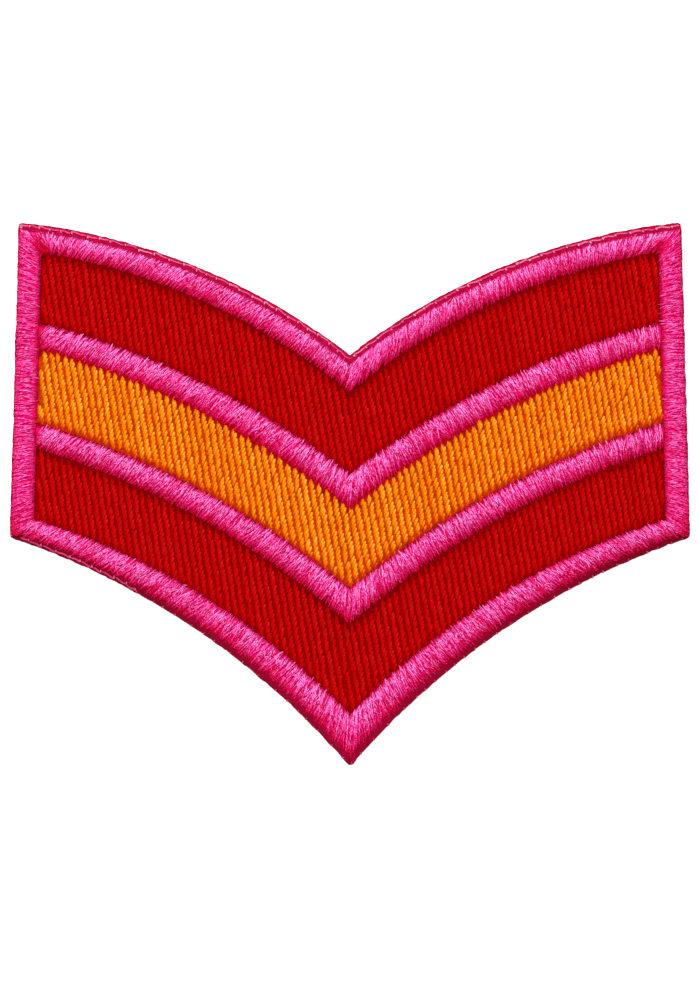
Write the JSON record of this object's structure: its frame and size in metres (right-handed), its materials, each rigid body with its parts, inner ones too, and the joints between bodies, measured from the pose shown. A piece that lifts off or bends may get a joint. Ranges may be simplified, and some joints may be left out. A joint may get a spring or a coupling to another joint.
{
  "type": "embroidered rank stripe patch",
  "caption": "Flat embroidered cloth badge shaped as a broad curved V: red, orange and red stripes parted and framed by raised pink satin stitch.",
  "frame": {"origin": "middle of the back, which is the flat face that lies on the garment", "axes": "+Z is the way the embroidered face looks, +Y is the way the V opens, +X is to the right of someone looking at the face"},
  "size_m": [0.09, 0.0717, 0.0022],
  "materials": {
    "ground_cloth": "crimson woven twill with a heat-sealed cut edge",
    "red_thread": "glossy two-ply machine embroidery thread, fill stitch",
    "orange_thread": "glossy two-ply machine embroidery thread, fill stitch",
    "pink_thread": "glossy machine embroidery thread, satin stitch"
  },
  "bodies": {
    "root": {"ground_cloth": "ground_cloth", "upper_field": "red_thread", "middle_field": "orange_thread", "lower_field": "red_thread", "upper_divider": "pink_thread", "lower_divider": "pink_thread", "outer_border": "pink_thread"}
  },
  "joints": []
}
